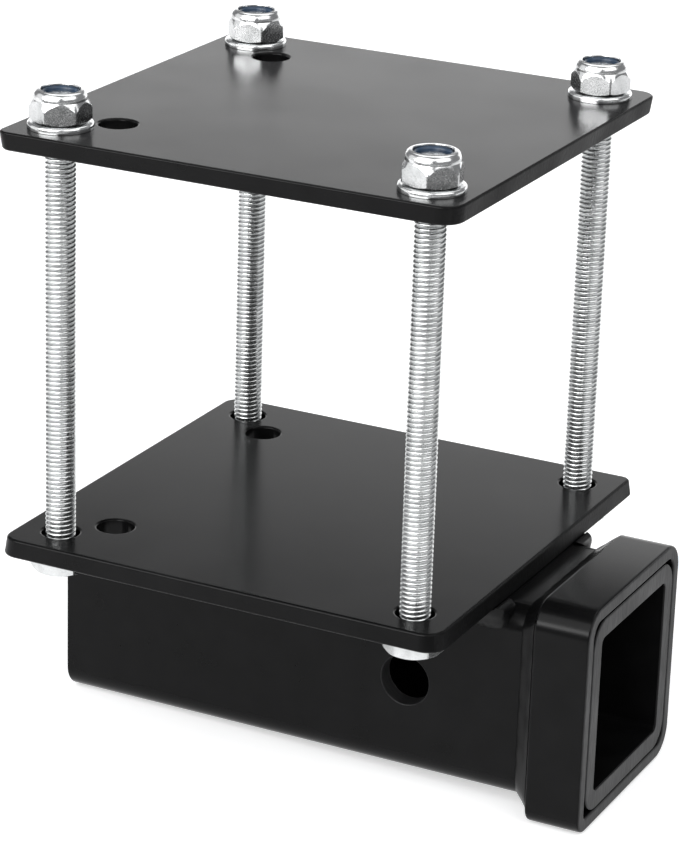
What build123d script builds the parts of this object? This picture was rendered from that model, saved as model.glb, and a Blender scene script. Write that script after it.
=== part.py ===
from build123d import *
from math import atan2, degrees
import os

# Bumper mount receiver hitch, in millimetres. +X points out of the receiver's mouth, +Z up.
# The origin is the middle of the outline on the ground: halfway along the tube, under its axis.

# Receiver tube, a square box section for a hitch shank
tube_size = 65.0
tube_wall = 6.5
tube_corner_radius = 8.5
tube_length = 188.0
pin_hole_diameter = 16.5
pin_hole_setback = 63.5        # from the mouth to the middle of the hole

# Collar, a strip bent square round the mouth, with three wide corners and a tight one
collar_wall = 4.6
collar_length = 18.5
collar_clearance = 0.3         # between the strip and each side of the tube
collar_bend_radius = 4.8       # inside the three wide corners
collar_tight_radius = 1.5      # inside the lower front corner
collar_weld_leg = 6.0          # along the tube
collar_weld_height = 4.4       # up the strip's back edge
collar_weld_corner_radius = 9.2
collar_weld_toe = 0.3          # thickness where the weld runs out on the tube

# Clamp plates, of one size, with hand-rounded corners
plate_length = 154.0           # along the tube
plate_width = 154.0
plate_thickness = 6.0
lower_corner_radii = (6.0, 6.0, 6.5, 3.0)    # by bolt number
upper_corner_radii = (4.0, 6.0, 7.0, 6.0)
plate_edge_slant = 0.7         # how far the cut sides lean in over the thickness
plate_edge_chamfer = 0.8
plate_setback = 32.5           # from the mouth to the plates' front edge
plate_weld_reach = 4.0         # out from the tube's side
plate_weld_root = 2.6          # from the corner's tangent to where the weld has a face
plate_weld_back_gap = 2.0      # from the weld's back end to the plate's edge
plate_weld_overrun = 4.0       # from the plate's front edge to the weld's other end

# Bolt pattern, the same in both plates
bolt_edge_margin = 14.5        # from a bolt's axis to the nearer edges
bolt_hole_diameter = 12.0
spare_hole_step = 12.7         # how far the spare pair lies inside the rear bolts, along X and Y

# Full-thread hexagon bolts, standing up through both plates
bolt_diameter = 9.8
bolt_length = 150.0            # under the head
bolt_point_chamfer = 1.0
head_across_flats = 17.0
head_height = 6.4
head_turns = (25.0, 40.0, 20.0, 12.0)    # direction of a corner, in degrees from +X

# Washers and nylon-insert lock nuts on top
washer_diameter = 20.6
washer_hole_diameter = 10.8
washer_thickness = 2.0
nut_across_flats = 17.0
nut_height = 10.0
nut_hex_height = 7.0
nut_crown_diameter = 16.2
nut_crown_chamfer = 1.0
nut_rim_diameter = 12.2        # inside the rim that holds the nylon ring down
nut_rim_thickness = 0.6
nut_turns = (30.0, 10.0, 46.0, 12.0)     # direction of a corner, in degrees from +X
thread_clearance = 0.05        # on the radius, between a nut and its bolt
point_recess = 0.8             # how far a bolt's end lies under the top of its nut

# Heights
collar_size = tube_size + 2 * (collar_clearance + collar_wall)
axis_z = collar_size / 2
tube_top_z = axis_z + tube_size / 2
lower_plate_top_z = tube_top_z + plate_thickness
nut_base_z = tube_top_z + bolt_length + point_recess - nut_height
upper_plate_top_z = nut_base_z - washer_thickness
upper_plate_z = upper_plate_top_z - plate_thickness

# Places along the tube
mouth_x = tube_length / 2
collar_back_x = mouth_x - collar_length
pin_x = mouth_x - pin_hole_setback
plate_x = mouth_x - plate_setback - plate_length / 2

# Bolt and spare hole places
bolt_dx = plate_length / 2 - bolt_edge_margin
bolt_dy = plate_width / 2 - bolt_edge_margin
bolt_places = [(plate_x + sx * bolt_dx, sy * bolt_dy) for sx in (-1, 1) for sy in (-1, 1)]
spare_places = [(plate_x - bolt_dx + spare_hole_step, sy * (bolt_dy - spare_hole_step)) for sy in (-1, 1)]


def square_section(size, radius):
    """A square with rounded corners, square to the tube's axis."""
    return Plane.YZ * RectangleRounded(size, size, radius)


def place_on_axis(solid, x):
    """Moves a solid made about the X axis to the tube's axis."""
    return Pos(x, 0, axis_z) * solid


def receiver_tube():
    """The box section with its pin hole through both sides."""
    outside = extrude(square_section(tube_size, tube_corner_radius), tube_length)
    bore_size = tube_size - 2 * tube_wall
    bore = extrude(square_section(bore_size, tube_corner_radius - tube_wall), tube_length)
    tube = place_on_axis(outside - bore, -mouth_x)
    pin_hole = Rot(90, 0, 0) * Cylinder(pin_hole_diameter / 2, 2 * tube_size)
    return tube - Pos(pin_x, 0, axis_z) * pin_hole


def collar_section(size, wide_radius, tight_radius):
    """A square whose lower front corner is tighter than the other three."""
    square = Rectangle(size, size)
    corners = square.vertices().sort_by(lambda v: v.X + v.Y)
    square = fillet(corners[1:], wide_radius)
    tight = square.vertices().sort_by(lambda v: v.X + v.Y)[:1]
    return Plane.YZ * fillet(tight, tight_radius)


def receiver_collar():
    """The strip round the mouth."""
    inside_size = tube_size + 2 * collar_clearance
    outside = collar_section(collar_size, collar_bend_radius + collar_wall, collar_tight_radius + collar_wall)
    inside = collar_section(inside_size, collar_bend_radius, collar_tight_radius)
    return place_on_axis(extrude(outside - inside, collar_length), collar_back_x)


def collar_weld():
    """The fillet weld that runs round the tube behind the collar."""
    toe = square_section(tube_size + 2 * collar_weld_toe, tube_corner_radius + collar_weld_toe)
    face = square_section(tube_size + 2 * collar_weld_height, collar_weld_corner_radius)
    bead = loft([toe, Pos(collar_weld_leg, 0, 0) * face])
    bead -= extrude(square_section(tube_size, tube_corner_radius), collar_weld_leg)
    return place_on_axis(bead, collar_back_x - collar_weld_leg)


def plate_weld(side):
    """The weld in the groove between the tube's rounded top corner and the lower plate."""
    half = tube_size / 2
    inner = half - tube_corner_radius + plate_weld_root
    groove = Polyline(
        (inner, half),
        (half + plate_weld_reach, half),
        (half, half - tube_corner_radius),
        (inner, half - tube_corner_radius),
        close=True,
    )
    section = make_face(groove) - RectangleRounded(tube_size, tube_size, tube_corner_radius)
    length = plate_length - plate_weld_back_gap + plate_weld_overrun
    bead = place_on_axis(extrude(Plane.YZ * section, length), plate_x - plate_length / 2 + plate_weld_back_gap)
    return bead if side > 0 else mirror(bead, Plane.XZ)


def plate_outline(corner_radii):
    """A plate's widest outline, at the foot of its sides."""
    spread = plate_edge_slant * plate_edge_chamfer / plate_thickness    # leaves the full size above the chamfer
    outline = Rectangle(plate_length + 2 * spread, plate_width + 2 * spread)
    for (side_x, side_y), radius in zip(((-1, -1), (-1, 1), (1, -1), (1, 1)), corner_radii):
        vertex = outline.vertices().sort_by(lambda v: v.X * side_x + v.Y * side_y)[-1]
        outline = fillet(vertex, radius + spread)
    return outline


def clamp_plate(bottom_z, corner_radii, wide_at_top):
    """One plate with its four bolt holes, the spare pair and eased edges."""
    lean = degrees(atan2(plate_edge_slant, plate_thickness))
    plate = extrude(plate_outline(corner_radii), plate_thickness, taper=lean)
    rims = plate.faces().sort_by(Axis.Z)
    plate = chamfer(rims[0].edges() + rims[-1].edges(), plate_edge_chamfer)
    if wide_at_top:
        plate = Pos(0, 0, plate_thickness) * mirror(plate, Plane.XY)
    plate = Pos(plate_x, 0, bottom_z) * plate
    hole = Cylinder(bolt_hole_diameter / 2, 4 * plate_thickness)
    for x, y in bolt_places + spare_places:
        plate -= Pos(x, y, bottom_z) * hole
    return plate


def hexagon(across_flats, height):
    """A hexagonal prism on z = 0 with a corner on +X."""
    prism = extrude(RegularPolygon(across_flats / 2, 6, major_radius=False), height)
    first_corner = prism.vertices().sort_by(Axis.X)[-1]
    return Rot(0, 0, -Vector(1, 0, 0).get_signed_angle(Vector(first_corner.X, first_corner.Y, 0))) * prism


def bolt(place, turn):
    """A hexagon bolt: the head hangs under the lower plate and the shank stands up."""
    head = Pos(0, 0, -head_height) * Rot(0, 0, turn) * hexagon(head_across_flats, head_height)
    shank = Pos(0, 0, bolt_length / 2) * Cylinder(bolt_diameter / 2, bolt_length)
    point = shank.edges().filter_by(GeomType.CIRCLE).sort_by(Axis.Z)[-1:]
    shank = chamfer(point, bolt_point_chamfer)
    return Pos(place[0], place[1], tube_top_z) * (head + shank)


def washer(place):
    """A flat washer on the upper plate."""
    ring = Circle(washer_diameter / 2) - Circle(washer_hole_diameter / 2)
    return Pos(place[0], place[1], upper_plate_top_z) * extrude(ring, washer_thickness)


def nut(place, turn):
    """A lock nut: a hexagon and a crown whose rim stands over the nylon ring pressed into it."""
    crown = Pos(0, 0, nut_height / 2) * Cylinder(nut_crown_diameter / 2, nut_height)
    crown_top = crown.edges().filter_by(GeomType.CIRCLE).sort_by(Axis.Z)[-1:]
    body = Rot(0, 0, turn) * hexagon(nut_across_flats, nut_hex_height) + chamfer(crown_top, nut_crown_chamfer)
    body -= Pos(0, 0, nut_height / 2) * Cylinder(bolt_diameter / 2 + thread_clearance, nut_height)
    body -= Pos(0, 0, nut_height - nut_rim_thickness / 2) * Cylinder(nut_rim_diameter / 2, nut_rim_thickness)
    return Pos(place[0], place[1], nut_base_z) * body


pieces = {
    "receiver_tube": receiver_tube(),
    "receiver_collar": receiver_collar(),
    "collar_weld": collar_weld(),
    "plate_weld_front": plate_weld(-1),
    "plate_weld_back": plate_weld(1),
    "lower_plate": clamp_plate(tube_top_z, lower_corner_radii, False),
    "upper_plate": clamp_plate(upper_plate_z, upper_corner_radii, True),
}
for i, place in enumerate(bolt_places):
    number = i + 1
    pieces[f"bolt_{number}"] = bolt(place, head_turns[i])
    pieces[f"washer_{number}"] = washer(place)
    pieces[f"nut_{number}"] = nut(place, nut_turns[i])

os.makedirs("parts", exist_ok=True)
for name, solid in pieces.items():
    export_step(solid, f"parts/{name}.step")
print("gap between the plates", round(upper_plate_z - lower_plate_top_z, 2))
print("height over all", round(nut_base_z + nut_height, 2))
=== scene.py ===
from math import atan2, cos, hypot, pi, radians, sin, sqrt, tan

import bmesh
import bpy
from mathutils import Matrix, Vector


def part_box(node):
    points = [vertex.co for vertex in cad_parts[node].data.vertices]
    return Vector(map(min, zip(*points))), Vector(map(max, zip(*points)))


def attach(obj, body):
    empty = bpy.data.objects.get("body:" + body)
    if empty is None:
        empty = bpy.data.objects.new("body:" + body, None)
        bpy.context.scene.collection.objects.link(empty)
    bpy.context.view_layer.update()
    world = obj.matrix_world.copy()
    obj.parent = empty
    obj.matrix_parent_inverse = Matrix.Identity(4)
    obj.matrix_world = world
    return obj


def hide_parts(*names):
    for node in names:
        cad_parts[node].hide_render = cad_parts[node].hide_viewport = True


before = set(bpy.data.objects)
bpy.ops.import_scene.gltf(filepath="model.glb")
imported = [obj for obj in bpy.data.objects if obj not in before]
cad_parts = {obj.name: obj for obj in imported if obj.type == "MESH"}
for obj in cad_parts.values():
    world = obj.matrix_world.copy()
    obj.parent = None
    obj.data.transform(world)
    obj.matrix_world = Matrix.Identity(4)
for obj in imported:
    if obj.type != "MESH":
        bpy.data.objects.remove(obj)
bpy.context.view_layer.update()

# Looks of a bumper mount receiver hitch, in metres. +X points out of the mouth, +Z up.
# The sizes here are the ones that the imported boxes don't give.
MM = 0.001

# Receiver tube and collar
TUBE_WALL = 6.5 * MM
TUBE_CORNER = 8.5 * MM
TUBE_EDGE_ROUNDING = 0.6 * MM
PIN_HOLE_RADIUS = 8.25 * MM
PIN_HOLE_SETBACK = 63.5 * MM            # from the mouth to the middle of the hole
PIN_HOLE_BAND = 2.0 * MM                # plain band of faces round the hole
COLLAR_WALL = 4.6 * MM
COLLAR_WIDE_CORNER = 9.4 * MM
COLLAR_TIGHT_CORNER = 6.1 * MM
COLLAR_EDGE_ROUNDING = 0.9 * MM
LONG_EDGE_FACETS = 10                   # in the rounding of a sleeve's long edges

# Clamp plates
LOWER_CORNERS = (6.0, 6.0, 6.5, 3.0)    # corner radii in millimetres, by bolt number
UPPER_CORNERS = (4.0, 6.0, 7.0, 6.0)
CORNER_FACETS = 8
EDGE_SLANT = 0.7 * MM                   # how far the cut sides lean in over the thickness
EDGE_ROUNDING = 0.8 * MM
OUTLINE_BAND = 2.0 * MM                 # plain band of faces inside the outline
BOLT_MARGIN = 14.5 * MM                 # from a bolt's axis to the nearer edges
BOLT_HOLE_RADIUS = 6.0 * MM
BOLT_HOLE_BAND = 1.5 * MM
SPARE_STEP = 12.7 * MM                  # how far the spare holes lie inside the rear pair
HOLE_SIDES = 48

# Welds
COLLAR_WELD_CORNER = 9.2 * MM
COLLAR_WELD_CUTS = 44                   # across each side of the tube
COLLAR_WELD_PROFILE = (                 # shares of the bead's leg and of its height
    (0.0, -0.05), (0.04, 0.06), (0.20, 0.22), (0.42, 0.42),
    (0.66, 0.66), (0.86, 0.88), (0.97, 0.98), (0.99, -0.05),
)
PLATE_WELD_STEPS = 312                  # about half a millimetre each
PLATE_WELD_ROUND_END = 4.5 * MM
PLATE_WELD_END_SHARE = 0.2              # of the full section, left at the very ends

# Bolts. A tooth of the thread is drawn by its depth under the crest and its rise, in millimetres.
THREAD_RADIUS = 4.9 * MM
THREAD_PITCH = 1.5 * MM
THREAD_TOOTH = (
    (0.8, -0.09), (0.8, 0.09), (0.20, 0.38), (0.05, 0.48), (0.0, 0.60),
    (0.01, 0.72), (0.07, 0.88), (0.17, 1.02), (0.32, 1.16), (0.8, 1.41),
)
THREAD_STEPS = 28                       # in one turn
THREAD_TURNS_SPARE = 2                  # below and above, cut off again
POINT_LENGTH = 1.0 * MM
POINT_SLOPE = 0.95
END_DEPTH = 0.9 * MM                    # how much deeper the bolts' ends look, under the nylon's lip
HEX_FLAT = 8.5 * MM                     # half the width across flats
HEX_CORNER = 9.72 * MM                  # out to the eased corners
HEX_CHAMFER_SLOPE = tan(radians(30.0))
HEAD_HEIGHT = 6.4 * MM
HEAD_TURNS = (25.0, 40.0, 20.0, 12.0)   # direction of a corner, in degrees from +X
HEAD_SIDES = 96

# Washers. The edges are drawn inwards from the rim or outwards from the bore, and down from the top, in
# millimetres.
WASHER_BORE = 5.4 * MM
WASHER_ROLLED_EDGE = ((0.0, 0.75), (0.10, 0.42), (0.32, 0.15), (0.62, 0.02), (0.85, 0.0))
WASHER_BORE_EDGE = ((0.35, 0.0), (0.08, 0.12), (0.0, 0.4))
WASHER_SIDES = 80

# Lock nuts. The rolled rim is drawn outwards from its bore and down from the top, in millimetres.
NUT_TURNS = (30.0, 10.0, 46.0, 12.0)    # direction of a corner, in degrees from +X
NUT_BORE = THREAD_RADIUS + 0.05 * MM
NUT_FOOT_RADIUS = 0.955 * HEX_FLAT
NUT_HEX_HEIGHT = 7.0 * MM
NUT_SHOULDER_RADIUS = 8.34 * MM         # where the hexagon's domed top meets the crown
NUT_SHOULDER_SLOPE = tan(radians(62.0))
CROWN_RADIUS = 8.40 * MM
CROWN_ROUND_IN = 1.65 * MM
CROWN_ROUND_DOWN = 2.74 * MM
CROWN_DISH = 0.06 * MM                  # how far the rim's roll starts below the top
CROWN_STEPS = 12
RIM_RADIUS = 6.1 * MM                   # inside the rim that holds the nylon down
RIM_ROLL = ((0.45, 0.01), (0.20, 0.0), (0.05, 0.10), (0.0, 0.30), (0.0, 0.75), (0.5, 0.8), (0.5, 3.0))
NUT_SIDES = 192
NYLON_SIDES = 64

# Camera and studio
VIEW_AZIMUTH = radians(26.296)
VIEW_ELEVATION = radians(20.421)
VIEW_ROLL = radians(1.781)
CAMERA_PLACE = (431.34, -895.70, 476.48)    # in millimetres
CAMERA_LENS = 139.565                   # focal length on a 36 mm sensor, in millimetres
SENSOR_WIDTH = 36.0
FLOOR_REACH = 6.0
PAPER_COLOUR = (0.86, 0.86, 0.865)
# The dark card is seen in reflections alone: a painted dark reflection of the floor before the object.
CARD_COLOUR = (0.10, 0.10, 0.10)
CARD_GLOW = 0.08                        # what the card leaves of the paper's glow
CARD_FADE = (0.38, 0.50)                # from paper to card, by distance towards the camera
CARD_AHEAD = (0.3, 1.6)                 # the card's edges nearest the object and nearest the camera
CARD_ASIDE = 3.0
CARD_LIFT = 0.5 * MM
LOW_AIM = (0.0, 0.0, 0.1)
PLATE_AIM = (0.0, 0.0, 0.21)


def box_of(node):
    """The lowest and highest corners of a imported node."""
    lo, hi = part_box(node)
    return Vector(lo), Vector(hi)


def wave(value, length):
    """A sine of a distance, with the wave's length."""
    return sin(2 * pi * value / length)


# ---- materials ----

def new_material(name):
    """An empty node material with its shader."""
    material = bpy.data.materials.new(name)
    material.use_nodes = True
    nodes = material.node_tree.nodes
    return material, nodes, material.node_tree.links, nodes["Principled BSDF"]


def object_noise(nodes, links, scale, detail, stretch=(1.0, 1.0, 1.0), roughness=0.5):
    """Noise on the piece's own coordinates, and its factor socket."""
    coordinates = nodes.new("ShaderNodeTexCoord")
    mapping = nodes.new("ShaderNodeMapping")
    mapping.inputs["Scale"].default_value = stretch
    noise = nodes.new("ShaderNodeTexNoise")
    noise.inputs["Scale"].default_value = scale
    noise.inputs["Detail"].default_value = detail
    noise.inputs["Roughness"].default_value = roughness
    links.new(coordinates.outputs["Object"], mapping.inputs["Vector"])
    links.new(mapping.outputs["Vector"], noise.inputs["Vector"])
    return noise.outputs["Fac"]


def ranged(nodes, links, factor, low, high, start=0.3, end=0.7):
    """A factor spread between two values."""
    spread = nodes.new("ShaderNodeMapRange")
    spread.inputs["From Min"].default_value = start
    spread.inputs["From Max"].default_value = end
    spread.inputs["To Min"].default_value = low
    spread.inputs["To Max"].default_value = high
    links.new(factor, spread.inputs["Value"])
    return spread.outputs["Result"]


def tinted(nodes, links, factor, low, high, start=0.3, end=0.7):
    """A factor turned into a colour between two."""
    ramp = nodes.new("ShaderNodeValToRGB")
    ramp.color_ramp.elements[0].position = start
    ramp.color_ramp.elements[0].color = (*low, 1.0)
    ramp.color_ramp.elements[1].position = end
    ramp.color_ramp.elements[1].color = (*high, 1.0)
    links.new(factor, ramp.inputs["Fac"])
    return ramp.outputs["Color"]


def raised(nodes, links, height, distance, strength=1.0, under=None):
    """A bump from a height factor, laid over another bump."""
    bump = nodes.new("ShaderNodeBump")
    bump.inputs["Strength"].default_value = strength
    bump.inputs["Distance"].default_value = distance
    links.new(height, bump.inputs["Height"])
    if under is not None:
        links.new(under, bump.inputs["Normal"])
    return bump.outputs["Normal"]


def black_coat(name, low, high, rough_low, rough_high, gloss, grain):
    """Satin black powder coat: slight mottling, fine orange peel and long soft waves."""
    material, nodes, links, shader = new_material(name)
    mottle = object_noise(nodes, links, scale=90.0, detail=3.0)
    links.new(tinted(nodes, links, mottle, low, high), shader.inputs["Base Color"])
    smear = object_noise(nodes, links, scale=35.0, detail=4.0)
    links.new(ranged(nodes, links, smear, rough_low, rough_high), shader.inputs["Roughness"])
    peel = object_noise(nodes, links, scale=1500.0, detail=2.0)
    long_wave = object_noise(nodes, links, scale=70.0, detail=1.0)
    waved = raised(nodes, links, long_wave, 0.02 * MM, strength=0.5)
    links.new(raised(nodes, links, peel, grain, under=waved), shader.inputs["Normal"])
    shader.inputs["Specular IOR Level"].default_value = gloss
    return material


def cut_coat(name, low, high, gloss, stretch):
    """The same coat over a sawn or burnt edge, whose fine lines show through."""
    material, nodes, links, shader = new_material(name)
    lines = object_noise(nodes, links, scale=900.0, detail=3.0, stretch=stretch)
    links.new(tinted(nodes, links, lines, low, high), shader.inputs["Base Color"])
    smear = object_noise(nodes, links, scale=60.0, detail=3.0)
    links.new(ranged(nodes, links, smear, 0.42, 0.55), shader.inputs["Roughness"])
    links.new(raised(nodes, links, lines, 0.12 * MM), shader.inputs["Normal"])
    shader.inputs["Specular IOR Level"].default_value = gloss
    return material


def zinc(name, low, high, rough_low, rough_high, speckle):
    """Bright zinc plate, slightly clouded and speckled."""
    material, nodes, links, shader = new_material(name)
    cloud = object_noise(nodes, links, scale=220.0, detail=4.0)
    links.new(tinted(nodes, links, cloud, low, high), shader.inputs["Base Color"])
    grain = object_noise(nodes, links, scale=1800.0, detail=3.0)
    links.new(ranged(nodes, links, grain, rough_low, rough_high), shader.inputs["Roughness"])
    pits = object_noise(nodes, links, scale=1300.0, detail=5.0, roughness=0.7)
    links.new(raised(nodes, links, pits, speckle), shader.inputs["Normal"])
    shader.inputs["Metallic"].default_value = 1.0
    return material


def nylon(name, low, high):
    """Dark blue nylon with a faint moulded grain."""
    material, nodes, links, shader = new_material(name)
    tone = object_noise(nodes, links, scale=500.0, detail=2.0)
    links.new(tinted(nodes, links, tone, low, high), shader.inputs["Base Color"])
    grain = object_noise(nodes, links, scale=2500.0, detail=2.0)
    links.new(ranged(nodes, links, grain, 0.28, 0.42), shader.inputs["Roughness"])
    links.new(raised(nodes, links, grain, 0.02 * MM), shader.inputs["Normal"])
    return material


COAT = black_coat("satin_black_coat", (0.0030, 0.0030, 0.0031), (0.0048, 0.0048, 0.0050),
                  rough_low=0.19, rough_high=0.23, gloss=0.10, grain=0.003 * MM)
WELD_COAT = black_coat("coat_over_weld", (0.0030, 0.0030, 0.0031), (0.0048, 0.0048, 0.0050),
                       rough_low=0.20, rough_high=0.28, gloss=0.12, grain=0.006 * MM)
PLATE_EDGE = cut_coat("coat_on_plate_edge", (0.002, 0.002, 0.0021), (0.006, 0.006, 0.0063),
                      gloss=0.08, stretch=(1.0, 1.0, 1.0))
TUBE_END = cut_coat("coat_on_sawn_end", (0.007, 0.007, 0.0073), (0.020, 0.020, 0.021),
                    gloss=0.22, stretch=(0.3, 1.0, 0.25))
BOLT_ZINC = zinc("zinc_on_thread", (0.49, 0.50, 0.50), (0.65, 0.66, 0.66),
                 rough_low=0.18, rough_high=0.28, speckle=0.006 * MM)
NUT_ZINC = zinc("zinc_on_nut", (0.60, 0.61, 0.61), (0.70, 0.705, 0.71),
                rough_low=0.14, rough_high=0.24, speckle=0.014 * MM)
# painted shade: the hexagon's flats are the nut's own zinc, given a darker base colour for how light falls on
# them; their rougher, more speckled finish is their own
SHADED_HEX_ZINC = zinc("zinc_on_hexagon_with_painted_shade", (0.44, 0.45, 0.45), (0.64, 0.645, 0.65),
                rough_low=0.16, rough_high=0.30, speckle=0.03 * MM)
WASHER_ZINC = zinc("zinc_on_washer", (0.64, 0.65, 0.65), (0.76, 0.765, 0.77),
                   rough_low=0.12, rough_high=0.22, speckle=0.010 * MM)
NYLON = nylon("blue_nylon", (0.012, 0.028, 0.056), (0.024, 0.052, 0.096))


# ---- making pieces ----

def piece_from(bm, name, materials, body, node=None, sharp=35.0):
    """Turns the mesh into a smooth-shaded piece that rides on a body and may stand for a node."""
    mesh = bpy.data.meshes.new(name)
    bm.to_mesh(mesh)
    bm.free()
    piece = bpy.data.objects.new(name, mesh)
    bpy.context.scene.collection.objects.link(piece)
    for material in materials:
        mesh.materials.append(material)
    mesh.polygons.foreach_set("use_smooth", [True] * len(mesh.polygons))
    mesh.set_sharp_from_angle(angle=radians(sharp))
    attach(piece, body)
    if node:
        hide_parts(node)
    return piece


def walled(piece, thickness):
    """Gives a skin its wall, inwards, with the piece's second material on the cut rims."""
    wall = piece.modifiers.new("wall", "SOLIDIFY")
    wall.thickness = thickness
    wall.offset = -1.0
    wall.use_even_offset = True
    wall.material_offset_rim = 1


def eased(piece, width, segments=3):
    """Rounds a piece's sharp edges and keeps its flats flat."""
    ease = piece.modifiers.new("eased edges", "BEVEL")
    ease.width = width
    ease.segments = segments
    ease.limit_method = "ANGLE"
    ease.angle_limit = radians(40.0)
    ease.harden_normals = True


def moved(bm, place):
    """Moves a whole mesh."""
    bmesh.ops.translate(bm, vec=place, verts=list(bm.verts))


def edges_of(verts):
    """The edges that join a ring of vertices."""
    ring = set(verts)
    return list({e for v in verts for e in v.link_edges if e.other_vert(v) in ring})


def verts_in(geom):
    """The vertices among what an operator made."""
    return [g for g in geom if isinstance(g, bmesh.types.BMVert)]


def pierced(bm, face, centres, radius, turn, margin):
    """Cuts round holes in a flat face, with a plain band round each."""
    outline = list(face.edges)
    normal = face.normal.copy()
    bmesh.ops.delete(bm, geom=[face], context="FACES_ONLY")
    bands = []
    for centre in centres:
        place = Matrix.Translation(centre)
        rim = bmesh.ops.create_circle(bm, segments=HOLE_SIDES, radius=radius, matrix=place @ turn)
        band = bmesh.ops.extrude_edge_only(bm, edges=edges_of(rim["verts"]))
        outer = verts_in(band["geom"])
        grow = 1.0 + margin / radius
        bmesh.ops.scale(bm, vec=(grow, grow, grow), space=place.inverted(), verts=outer)
        bands += edges_of(outer)
    bmesh.ops.triangle_fill(bm, use_beauty=True, edges=outline + bands, normal=normal)


def faces_outward(bm, normal, centre):
    """Turns the faces so that the ones on a flat point along its normal."""
    bmesh.ops.recalc_face_normals(bm, faces=list(bm.faces))
    flat = max(bm.faces, key=lambda f: (f.calc_center_median() - centre).dot(normal) + 1e-3 * f.calc_area())
    if flat.normal.dot(normal) < 0:
        bmesh.ops.reverse_faces(bm, faces=list(bm.faces))


# ---- plates, tube and collar ----

def clamp_plate(node, body, corner_radii, wide_at_top):
    """A plate with rounded corners, slightly slanting cut sides, four bolt holes and a spare pair."""
    lo, hi = box_of(node)
    size, middle = hi - lo, (lo + hi) / 2
    spread = EDGE_SLANT * EDGE_ROUNDING / size.z
    bm = bmesh.new()
    bmesh.ops.create_grid(bm, x_segments=1, y_segments=1, size=0.5)
    bmesh.ops.scale(bm, vec=(size.x + 2 * spread, size.y + 2 * spread, 1.0), verts=list(bm.verts))
    moved(bm, (middle.x, middle.y, hi.z))
    for (side_x, side_y), radius in zip(((-1, -1), (-1, 1), (1, -1), (1, 1)), corner_radii):
        corner = max(bm.verts, key=lambda v: v.co.x * side_x + v.co.y * side_y)
        bmesh.ops.bevel(bm, geom=[corner], offset=radius * MM, segments=CORNER_FACETS, profile=0.5,
                        affect="VERTICES", material=-1)
    bmesh.ops.inset_region(bm, faces=list(bm.faces), thickness=OUTLINE_BAND, use_even_offset=True,
                           use_boundary=True)
    reach_x, reach_y = size.x / 2 - BOLT_MARGIN, size.y / 2 - BOLT_MARGIN
    centres = [Vector((middle.x + sx * reach_x, sy * reach_y, hi.z)) for sx in (-1, 1) for sy in (-1, 1)]
    spare_x, spare_y = middle.x - reach_x + SPARE_STEP, reach_y - SPARE_STEP
    centres += [Vector((spare_x, sy * spare_y, hi.z)) for sy in (-1, 1)]
    inner = max(bm.faces, key=lambda f: f.calc_area())
    pierced(bm, inner, centres, BOLT_HOLE_RADIUS, Matrix.Identity(4), BOLT_HOLE_BAND)
    down = bmesh.ops.extrude_face_region(bm, geom=list(bm.faces), use_keep_orig=True)
    bmesh.ops.translate(bm, vec=(0, 0, -size.z), verts=verts_in(down["geom"]))
    near_hole = BOLT_HOLE_RADIUS + 1.1 * BOLT_HOLE_BAND
    for v in bm.verts:
        narrow = (v.co.z < middle.z) == wide_at_top
        by_hole = any(hypot(v.co.x - c.x, v.co.y - c.y) < near_hole for c in centres)
        if narrow and not by_hole:
            v.co.x -= (v.co.x - middle.x) * 2 * EDGE_SLANT / size.x
            v.co.y -= (v.co.y - middle.y) * 2 * EDGE_SLANT / size.y
    bmesh.ops.recalc_face_normals(bm, faces=list(bm.faces))
    for face in bm.faces:
        at_end = abs(face.calc_center_median().x - middle.x) > size.x / 2 - OUTLINE_BAND
        if at_end and abs(face.normal.x) > 0.7:
            face.material_index = 1
    plate = piece_from(bm, node + "_coated", [COAT, PLATE_EDGE], body, node)
    eased(plate, EDGE_ROUNDING)


def sleeve(lo, hi, corners):
    """An open-ended square sleeve along X, whose long edges are rounded, each by its own radius."""
    bm = bmesh.new()
    bmesh.ops.create_cube(bm, size=1.0)
    size, middle = hi - lo, (lo + hi) / 2
    bmesh.ops.scale(bm, vec=size, verts=list(bm.verts))
    moved(bm, middle)
    ends = [f for f in bm.faces if abs(f.normal.x) > 0.5]
    bmesh.ops.delete(bm, geom=ends, context="FACES_ONLY")
    for (side_y, side_z), radius in corners.items():
        at_corner = [v for v in bm.verts if (v.co.y - middle.y) * side_y > size.y * 0.49
                     and (v.co.z - middle.z) * side_z > size.z * 0.49]
        long_edge = [e for e in edges_of(at_corner) if e.calc_length() > size.x / 2]
        bmesh.ops.bevel(bm, geom=long_edge, offset=radius, segments=LONG_EDGE_FACETS, profile=0.5,
                        affect="EDGES", material=-1)
    return bm


def receiver_tube(node):
    """The tube with its pin hole through both sides."""
    lo, hi = box_of(node)
    middle = (lo + hi) / 2
    bm = sleeve(lo, hi, {(sy, sz): TUBE_CORNER for sy in (-1, 1) for sz in (-1, 1)})
    for side in (-1, 1):
        flat = max((f for f in bm.faces if f.normal.y * side > 0.99), key=lambda f: f.calc_area())
        centre = Vector((hi.x - PIN_HOLE_SETBACK, middle.y + side * (hi.y - lo.y) / 2, middle.z))
        pierced(bm, flat, [centre], PIN_HOLE_RADIUS, Matrix.Rotation(pi / 2, 4, "X"), PIN_HOLE_BAND)
    faces_outward(bm, Vector((0, 0, 1)), middle)
    tube = piece_from(bm, "receiver_tube_coated", [COAT, TUBE_END], "receiver", node)
    walled(tube, TUBE_WALL)
    eased(tube, TUBE_EDGE_ROUNDING)


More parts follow.
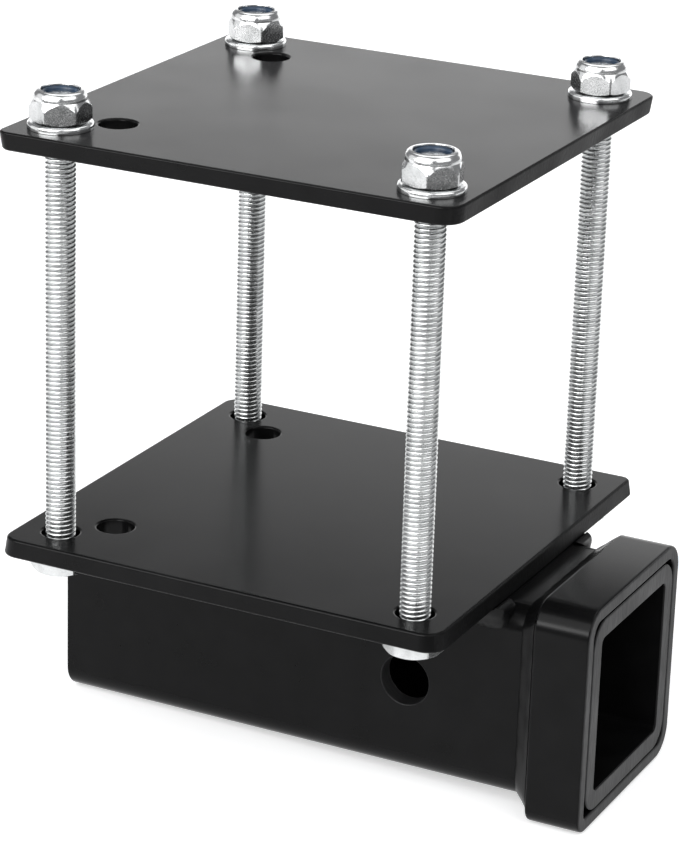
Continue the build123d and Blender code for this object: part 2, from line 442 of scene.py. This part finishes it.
def receiver_collar(node):
    """The strip bent round the mouth, with one tight corner at the lower front."""
    lo, hi = box_of(node)
    corners = {(-1, -1): COLLAR_TIGHT_CORNER, (-1, 1): COLLAR_WIDE_CORNER,
               (1, -1): COLLAR_WIDE_CORNER, (1, 1): COLLAR_WIDE_CORNER}
    bm = sleeve(lo, hi, corners)
    faces_outward(bm, Vector((0, 0, 1)), (lo + hi) / 2)
    collar = piece_from(bm, "receiver_collar_coated", [COAT, TUBE_END], "receiver", node)
    walled(collar, COLLAR_WALL)
    eased(collar, COLLAR_EDGE_ROUNDING, 4)


clamp_plate("lower_plate", "receiver", LOWER_CORNERS, False)
clamp_plate("upper_plate", "clamp_plate", UPPER_CORNERS, True)
receiver_tube("receiver_tube")
receiver_collar("receiver_collar")


# ---- welds ----

def corner_loop(bm, middle, half, radius, x):
    """A rounded square ring across the tube's axis."""
    ring = bmesh.ops.create_circle(bm, segments=4, radius=half * sqrt(2))["verts"]
    bmesh.ops.rotate(bm, matrix=Matrix.Rotation(pi / 4, 3, "Z"), verts=ring)
    bmesh.ops.rotate(bm, matrix=Matrix.Rotation(pi / 2, 3, "Y"), verts=ring)
    bmesh.ops.translate(bm, vec=(x, middle.y, middle.z), verts=ring)
    bmesh.ops.bevel(bm, geom=ring, offset=radius, segments=CORNER_FACETS, profile=0.5, affect="VERTICES",
                    material=-1)


def collar_weld(node):
    """The weld bead behind the collar, with soft ripples along it."""
    lo, hi = box_of(node)
    middle = (lo + hi) / 2
    tube_lo, tube_hi = box_of("receiver_tube")
    tube_half = (tube_hi.z - tube_lo.z) / 2
    leg, height = hi.x - lo.x, (hi.z - lo.z) / 2 - tube_half
    bm = bmesh.new()
    for along, up in COLLAR_WELD_PROFILE:
        corner = TUBE_CORNER + (COLLAR_WELD_CORNER - TUBE_CORNER) * up
        corner_loop(bm, middle, tube_half + height * up, corner, lo.x + leg * along)
    long_sides = [e for e in bm.edges if e.calc_length() > 20 * MM]
    bmesh.ops.subdivide_edges(bm, edges=long_sides, cuts=COLLAR_WELD_CUTS)
    for (first, _), (second, _) in zip(COLLAR_WELD_PROFILE, COLLAR_WELD_PROFILE[1:]):
        places = (lo.x + leg * first, lo.x + leg * second)
        rings = [v for v in bm.verts if min(abs(v.co.x - place) for place in places) < 1e-6]
        loops = [e for e in edges_of(rings) if abs(e.verts[0].co.x - e.verts[1].co.x) < 1e-6]
        bmesh.ops.bridge_loops(bm, edges=loops)
    faces_outward(bm, Vector((0, 0, 1)), middle)
    for v in bm.verts:
        out = Vector((0.0, v.co.y - middle.y, v.co.z - middle.z))
        walk = out.z if abs(out.y) > abs(out.z) else out.y
        along = min(max((v.co.x - lo.x) / leg, 0.0), 1.0)
        swell = 0.012 * wave(walk, 2.3 * MM) + 0.02 * wave(walk, 13.0 * MM)
        v.co += out.normalized() * height * swell * sin(pi * along)
        toe = max(0.0, 1.0 - 2.5 * along)
        v.co.x += leg * 0.015 * toe * (1.0 + wave(walk, 7.0 * MM))
    piece_from(bm, "collar_weld_bead", [WELD_COAT], "receiver", node, sharp=60.0)


def plate_weld(node, side):
    """A weld bead in the groove under the lower plate, rounded at its ends."""
    lo, hi = box_of(node)
    half_y = max(abs(lo.y), abs(hi.y))
    _, tube_hi = box_of("receiver_tube")
    tube_half, top_z = tube_hi.y, tube_hi.z
    centre_z = top_z - TUBE_CORNER
    plate_end = box_of("lower_plate")[1].x + 0.3 * MM
    # round the section: under the plate, down its face, and on to the tube's rounded corner
    section = ((tube_half - 6.2 * MM, top_z - 0.1 * MM), (half_y - 0.2 * MM, top_z - 0.05 * MM),
               (half_y - 0.3 * MM, top_z - 1.2 * MM), (tube_half + 2.5 * MM, top_z - 3.2 * MM),
               (tube_half + 1.2 * MM, top_z - 5.4 * MM), (tube_half + 0.25 * MM, centre_z + 0.8 * MM),
               (tube_half - 0.6 * MM, centre_z + 0.1 * MM))
    bm = bmesh.new()
    verts = [bm.verts.new((lo.x, side * y, z)) for y, z in section]
    profile = [bm.edges.new((a, b)) for a, b in zip(verts, verts[1:] + verts[:1])]
    bmesh.ops.spin(bm, geom=verts + profile, cent=(0, 0, 0), axis=(1, 0, 0), angle=0.0,
                   dvec=((hi.x - lo.x) / PLATE_WELD_STEPS, 0, 0), steps=PLATE_WELD_STEPS)
    bmesh.ops.remove_doubles(bm, verts=list(bm.verts), dist=1e-7)
    bmesh.ops.holes_fill(bm, edges=[e for e in bm.edges if e.is_boundary], sides=0)
    root = Vector((0.0, side * (tube_half - 3.0 * MM), top_z - 2.0 * MM))
    for v in bm.verts:
        to_end = min(v.co.x - lo.x, hi.x - v.co.x)
        inward = min(max(to_end / PLATE_WELD_ROUND_END, 0.0), 1.0)
        full = PLATE_WELD_END_SHARE + (1.0 - PLATE_WELD_END_SHARE) * sqrt(1.0 - (1.0 - inward) ** 2)
        ripple = 1.0 + inward ** 2 * (0.006 * wave(v.co.x, 2.6 * MM) + 0.02 * wave(v.co.x, 11.0 * MM))
        low = v.co.z < top_z - 0.5 * MM
        across = Vector((0.0, v.co.y, v.co.z)) - root
        across.y *= full * ripple if low else full
        across.z *= full * ripple if low else 1.0
        v.co.y, v.co.z = root.y + across.y, min(root.z + across.z, top_z - 0.03 * MM)
        if v.co.x > plate_end and not low:
            v.co.z += 1.0 * MM * (full - PLATE_WELD_END_SHARE) - 2.0 * MM * (1.0 - full)
    bmesh.ops.recalc_face_normals(bm, faces=list(bm.faces))
    piece_from(bm, node + "_bead", [WELD_COAT], "receiver", node, sharp=60.0)


collar_weld("collar_weld")
plate_weld("plate_weld_front", -1)
plate_weld("plate_weld_back", 1)


# ---- bolts, washers and nuts ----

def turned(bm, rings, segments, first=0.0):
    """An open shell of rings, each a function of angle that gives a radius and a height."""
    start = bmesh.ops.create_circle(bm, segments=segments, radius=1.0)["verts"]
    bmesh.ops.rotate(bm, matrix=Matrix.Rotation(first - pi / 2, 3, "Z"), verts=start)
    edges = edges_of(start)
    verts = start
    for number, ring in enumerate(rings):
        if number:
            verts = verts_in(bmesh.ops.extrude_edge_only(bm, edges=edges)["geom"])
            edges = edges_of(verts)
        for v in verts:
            angle = atan2(v.co.y, v.co.x)
            radius, height = ring(angle)
            v.co = (radius * cos(angle), radius * sin(angle), height)
    return start, verts


def turned_ring(bm, rings, segments, first=0.0):
    """A closed ring: the shell's first and last rings joined."""
    start, end = turned(bm, rings, segments, first)
    bmesh.ops.bridge_loops(bm, edges=edges_of(start) + edges_of(end))
    bmesh.ops.recalc_face_normals(bm, faces=list(bm.faces))


def plain(radius, height):
    """A round ring."""
    return lambda angle: (radius, height)


def hex_radius(angle, corner):
    """How far a hexagon's side is from its middle, at an angle, for one corner's direction."""
    off = (angle - corner + pi / 6) % (pi / 3) - pi / 6
    return min(HEX_FLAT / cos(pi / 6 - abs(off)), HEX_CORNER)


def hex_ring(corner, base, end_radius, slope):
    """Where a cone from an end circle meets the hexagon's sides. The slope is down or up from base."""
    def ring(angle):
        radius = hex_radius(angle, corner)
        return radius, base + slope * max(0.0, radius - end_radius)
    return ring


def helix(bm, length):
    """The bolt's thread: one tooth's outline carried round and up, with spare turns at both ends."""
    base = -THREAD_TURNS_SPARE * THREAD_PITCH
    verts = [bm.verts.new((THREAD_RADIUS - depth * MM, 0.0, base + rise * MM))
             for depth, rise in THREAD_TOOTH]
    edges = [bm.edges.new((a, b)) for a, b in zip(verts, verts[1:])]
    bmesh.ops.spin(bm, geom=verts + edges, cent=(0, 0, 0), axis=(0, 0, 1), angle=2 * pi,
                   dvec=(0, 0, THREAD_PITCH / THREAD_STEPS), steps=THREAD_STEPS)
    turns = 1
    while turns < length / THREAD_PITCH + 2 * THREAD_TURNS_SPARE:
        again = bmesh.ops.duplicate(bm, geom=list(bm.verts) + list(bm.edges) + list(bm.faces))
        bmesh.ops.translate(bm, vec=(0, 0, turns * THREAD_PITCH), verts=verts_in(again["geom"]))
        turns *= 2
    bmesh.ops.remove_doubles(bm, verts=list(bm.verts), dist=2e-6)


def cut_flat(bm, height, above):
    """Cuts a shell square to its axis and closes the cut."""
    geom = list(bm.verts) + list(bm.edges) + list(bm.faces)
    cut = bmesh.ops.bisect_plane(bm, geom=geom, dist=1e-7, plane_co=(0, 0, height), plane_no=(0, 0, 1),
                                 clear_outer=above, clear_inner=not above)
    edges = [g for g in cut["geom_cut"] if isinstance(g, bmesh.types.BMEdge)]
    bmesh.ops.triangle_fill(bm, use_beauty=True, edges=edges)


def bolt_head(corner):
    """A chamfered hexagon head with a slightly dished end, under z = 0."""
    end_radius = 0.93 * HEX_FLAT
    head = bmesh.new()
    start, end = turned(head, [
        plain(0.55 * HEX_FLAT, -HEAD_HEIGHT + 0.25 * MM),
        plain(0.62 * HEX_FLAT, -HEAD_HEIGHT),
        plain(end_radius, -HEAD_HEIGHT),
        hex_ring(corner, -HEAD_HEIGHT, end_radius, HEX_CHAMFER_SLOPE),
        hex_ring(corner, 0.0, end_radius, 0.0),
        plain(THREAD_RADIUS * 0.9, 0.0),
    ], HEAD_SIDES, corner)
    bmesh.ops.contextual_create(head, geom=edges_of(start))
    bmesh.ops.contextual_create(head, geom=edges_of(end))
    bmesh.ops.recalc_face_normals(head, faces=list(head.faces))
    shell = bpy.data.meshes.new("head")
    head.to_mesh(shell)
    head.free()
    return shell


def bolt(number):
    """A bolt with its thread, and its head under the lower plate."""
    node = f"bolt_{number + 1}"
    lo, hi = box_of(node)
    seat = lo.z + HEAD_HEIGHT
    length = hi.z - seat - END_DEPTH
    bm = bmesh.new()
    helix(bm, length)
    cut_flat(bm, length, True)
    cut_flat(bm, 0.0, False)
    for v in bm.verts:
        over = v.co.z - (length - POINT_LENGTH)
        radius = hypot(v.co.x, v.co.y)
        limit = THREAD_RADIUS - max(0.0, over) * POINT_SLOPE
        if over > 0 and radius > limit:
            v.co.x *= limit / radius
            v.co.y *= limit / radius
    bmesh.ops.recalc_face_normals(bm, faces=list(bm.faces))
    bm.from_mesh(bolt_head(radians(HEAD_TURNS[number])))
    moved(bm, ((lo.x + hi.x) / 2, (lo.y + hi.y) / 2, seat))
    piece_from(bm, node + "_threaded", [BOLT_ZINC], "receiver", node, sharp=25.0)


def washer(number):
    """A stamped washer: its upper outer edge rolled over, its lower one sharp."""
    node = f"washer_{number + 1}"
    lo, hi = box_of(node)
    radius, height = (hi.x - lo.x) / 2, hi.z - lo.z
    rings = [plain(WASHER_BORE, 0.15 * MM), plain(WASHER_BORE + 0.15 * MM, 0.0),
             plain(radius - 0.12 * MM, 0.0), plain(radius, 0.10 * MM)]
    rings += [plain(radius - inward * MM, height - down * MM) for inward, down in WASHER_ROLLED_EDGE]
    rings += [plain(WASHER_BORE + outward * MM, height - down * MM) for outward, down in WASHER_BORE_EDGE]
    bm = bmesh.new()
    turned_ring(bm, rings, WASHER_SIDES)
    moved(bm, ((lo.x + hi.x) / 2, (lo.y + hi.y) / 2, lo.z))
    piece_from(bm, node + "_stamped", [WASHER_ZINC], "clamp_plate", node, sharp=40.0)


def crowned_nut(height, corner):
    """A nut from its bore round by the hexagon and the crown to the groove that holds the nylon."""
    rings = [
        plain(NUT_BORE, 0.5 * MM), plain(NUT_BORE + 0.5 * MM, 0.0),
        plain(NUT_FOOT_RADIUS - 0.25 * MM, 0.0), plain(NUT_FOOT_RADIUS, 0.12 * MM),
        hex_ring(corner, 0.12 * MM, NUT_FOOT_RADIUS, HEX_CHAMFER_SLOPE),
        hex_ring(corner, 0.30 * MM, NUT_FOOT_RADIUS, HEX_CHAMFER_SLOPE),
        hex_ring(corner, NUT_HEX_HEIGHT - 0.20 * MM, NUT_SHOULDER_RADIUS, -NUT_SHOULDER_SLOPE),
        hex_ring(corner, NUT_HEX_HEIGHT, NUT_SHOULDER_RADIUS, -NUT_SHOULDER_SLOPE),
        plain(NUT_SHOULDER_RADIUS, NUT_HEX_HEIGHT + 0.02 * MM),
        plain(CROWN_RADIUS - 0.08 * MM, NUT_HEX_HEIGHT + 0.10 * MM),
    ]
    for step in range(CROWN_STEPS + 1):
        turn = radians(90.0 * step / CROWN_STEPS)
        rings.append(plain(CROWN_RADIUS - CROWN_ROUND_IN * (1 - cos(turn)),
                           height - CROWN_DISH - CROWN_ROUND_DOWN * (1 - sin(turn))))
    rings += [plain(RIM_RADIUS + outward * MM, height - down * MM) for outward, down in RIM_ROLL]
    rings.append(plain(NUT_BORE, height - 3.0 * MM))
    bm = bmesh.new()
    turned_ring(bm, rings, NUT_SIDES, corner)
    return bm


def nylon_ring(height):
    """The nylon in the nut's groove, with a lip and a shallow groove round it."""
    bm = bmesh.new()
    turned_ring(bm, [
        plain(NUT_BORE + 0.03 * MM, height - 2.9 * MM), plain(RIM_RADIUS + 0.4 * MM, height - 2.9 * MM),
        plain(RIM_RADIUS + 0.4 * MM, height - 1.3 * MM), plain(RIM_RADIUS - 0.30 * MM, height - 1.25 * MM),
        plain(RIM_RADIUS - 0.45 * MM, height - 0.70 * MM), plain(RIM_RADIUS - 0.62 * MM, height - 0.58 * MM),
        plain(NUT_BORE + 0.40 * MM, height - 0.72 * MM), plain(NUT_BORE + 0.14 * MM, height - 0.90 * MM),
        plain(NUT_BORE + 0.03 * MM, height - 1.30 * MM),
    ], NYLON_SIDES)
    return bm


def lock_nut(number):
    """A lock nut with turned-down corners, a rounded crown and the rim rolled over its nylon ring."""
    node = f"nut_{number + 1}"
    body = f"nut_body_{number + 1}"
    lo, hi = box_of(node)
    place = Vector(((lo.x + hi.x) / 2, (lo.y + hi.y) / 2, lo.z))
    height = hi.z - lo.z
    bm = crowned_nut(height, radians(NUT_TURNS[number]))
    # the hexagon's flats take the darker zinc, which is painted shade
    for face in bm.faces:
        middle = face.calc_center_median()
        outside = hypot(middle.x, middle.y) > THREAD_RADIUS + 1.0 * MM
        if outside and abs(face.normal.z) < 0.3 and middle.z < NUT_HEX_HEIGHT:
            face.material_index = 1
    moved(bm, place)
    piece_from(bm, node + "_crowned", [NUT_ZINC, SHADED_HEX_ZINC], body, node, sharp=33.0)
    ring = nylon_ring(height)
    moved(ring, place)
    piece_from(ring, f"nylon_ring_{number + 1}", [NYLON], body, sharp=40.0)


for number in range(4):
    bolt(number)
    washer(number)
    lock_nut(number)


# ---- floor, light and camera ----

def ground_sheet(name, corners, lift, material):
    """A flat sheet on the ground that the tube's back end and the collar rest on."""
    tube_lo, _ = box_of("receiver_tube")
    collar_lo, _ = box_of("receiver_collar")
    tilt = atan2(tube_lo.z - collar_lo.z, collar_lo.x - tube_lo.x)
    bm = bmesh.new()
    bm.faces.new([bm.verts.new((x, y, lift)) for x, y in corners])
    bmesh.ops.rotate(bm, matrix=Matrix.Rotation(tilt, 3, "Y"), verts=list(bm.verts))
    moved(bm, (collar_lo.x, 0.0, collar_lo.z))
    mesh = bpy.data.meshes.new(name)
    bm.to_mesh(mesh)
    bm.free()
    sheet = bpy.data.objects.new(name, mesh)
    bpy.context.scene.collection.objects.link(sheet)
    mesh.materials.append(material)
    return sheet


def ground_paper(name):
    """Matt white paper with a painted glow that lifts it to white, a little stronger behind the object, where
    it washes out the object's cast shadows. Also how far a point lies ahead.
    """
    material, nodes, links, shader = new_material(name)
    shader.inputs["Roughness"].default_value = 0.6
    shader.inputs["Specular IOR Level"].default_value = 0.1
    shader.inputs["Base Color"].default_value = (*PAPER_COLOUR, 1.0)
    shader.inputs["Emission Color"].default_value = (1.0, 1.0, 1.0, 1.0)
    coordinates = nodes.new("ShaderNodeTexCoord")
    ahead = nodes.new("ShaderNodeVectorMath")
    ahead.operation = "DOT_PRODUCT"
    ahead.inputs[1].default_value = (sin(VIEW_AZIMUTH), -cos(VIEW_AZIMUTH), 0.0)
    links.new(coordinates.outputs["Object"], ahead.inputs[0])
    # painted light: the paper's glow, raised behind the object where its cast shadows fall
    glow = ranged(nodes, links, ahead.outputs["Value"], 0.60, 0.50, start=-0.30, end=-0.06)
    links.new(glow, shader.inputs["Emission Strength"])
    return material, shader, ahead.outputs["Value"], glow


def pale_floor():
    """The plain pale floor."""
    reach = FLOOR_REACH
    material, *_ = ground_paper("pale_ground")
    corners = [(-reach, -reach), (reach, -reach), (reach, reach), (-reach, reach)]
    ground_sheet("pale_floor", corners, 0.0, material)


def dark_card():
    """A card on the floor before the object that darkens what the zinc and the coat mirror, seen in
    reflections alone: a painted dark reflection.
    """
    material, shader, ahead, glow = ground_paper("card_paper")
    nodes, links = material.node_tree.nodes, material.node_tree.links
    tone = tinted(nodes, links, ranged(nodes, links, ahead, 0.0, 1.0, *CARD_FADE), PAPER_COLOUR, CARD_COLOUR,
                  start=0.0, end=1.0)
    links.new(tone, shader.inputs["Base Color"])
    fade = nodes.new("ShaderNodeMath")
    fade.operation = "MULTIPLY"
    links.new(glow, fade.inputs[0])
    links.new(ranged(nodes, links, ahead, 1.0, CARD_GLOW, *CARD_FADE), fade.inputs[1])
    links.new(fade.outputs["Value"], shader.inputs["Emission Strength"])
    forward = Vector((sin(VIEW_AZIMUTH), -cos(VIEW_AZIMUTH)))
    aside = Vector((cos(VIEW_AZIMUTH), sin(VIEW_AZIMUTH)))
    near, far = CARD_AHEAD
    places = ((near, -CARD_ASIDE), (far, -CARD_ASIDE), (far, CARD_ASIDE), (near, CARD_ASIDE))
    corners = [tuple(a * forward + s * aside) for a, s in places]
    card = ground_sheet("dark_card", corners, CARD_LIFT, material)
    card.visible_camera = False
    card.visible_diffuse = False
    card.visible_shadow = False


def soft_light(name, place, aim, width, height, power, lights_matt=True):
    """A rectangular soft box that faces a point. One that doesn't light matt surfaces is only mirrored."""
    light = bpy.data.lights.new(name, "AREA")
    light.shape = "RECTANGLE"
    light.size, light.size_y = width, height
    light.energy = power
    lamp = bpy.data.objects.new(name, light)
    lamp.visible_camera = False
    lamp.visible_diffuse = lights_matt
    away = Vector(place) - Vector(aim)
    facing = away.to_track_quat("Z", "Y").to_matrix().to_4x4()
    lamp.matrix_world = Matrix.Translation(place) @ facing
    bpy.context.scene.collection.objects.link(lamp)


pale_floor()
dark_card()
soft_light("front_left", (-0.28, -1.26, 0.98), LOW_AIM, width=1.75, height=1.35, power=22.0)
soft_light("front_right", (1.12, -0.42, 1.10), LOW_AIM, width=1.55, height=1.0, power=10.0)
soft_light("overhead", (-0.1, 0.3, 1.6), LOW_AIM, width=1.6, height=1.4, power=4.0)
soft_light("backdrop", (-1.0, 2.0, 0.48), (-1.0, 0.0, 0.48), width=3.8, height=0.96, power=17.0)
soft_light("left_side", (-1.4, -0.5, 0.6), (0.0, 0.0, 0.15), width=1.0, height=1.2, power=3.0)
# a low strip that the rear nuts mirror by way of the plate, and a high light for the nuts' rims
soft_light("low_strip", (-0.346, -1.065, 0.50), PLATE_AIM, width=1.35, height=0.24, power=9.5,
           lights_matt=False)
soft_light("high_sheen", (-0.15, 0.45, 1.30), PLATE_AIM, width=1.3, height=1.0, power=5.0,
           lights_matt=False)

world = bpy.data.worlds.new("studio")
world.use_nodes = True
world.node_tree.nodes["Background"].inputs["Color"].default_value = (0.94, 0.95, 0.97, 1.0)
world.node_tree.nodes["Background"].inputs["Strength"].default_value = 0.28
bpy.context.scene.world = world


def photo_camera():
    """The camera at the photograph's angle."""
    azimuth, elevation, roll = VIEW_AZIMUTH, VIEW_ELEVATION, VIEW_ROLL
    back = Vector((sin(azimuth) * cos(elevation), -cos(azimuth) * cos(elevation), sin(elevation)))
    level = Vector((cos(azimuth), sin(azimuth), 0.0))
    over = back.cross(level)
    right = cos(roll) * level + sin(roll) * over
    up = -sin(roll) * level + cos(roll) * over
    turn = Matrix((right, up, back)).transposed().to_4x4()
    lens = bpy.data.cameras.new("camera")
    lens.sensor_width = SENSOR_WIDTH
    lens.lens = CAMERA_LENS
    camera = bpy.data.objects.new("camera", lens)
    camera.matrix_world = Matrix.Translation(Vector(CAMERA_PLACE) * MM) @ turn
    bpy.context.scene.collection.objects.link(camera)
    bpy.context.scene.camera = camera


photo_camera()
bpy.context.scene.view_settings.view_transform = "Standard"
bpy.context.scene.view_settings.look = "None"
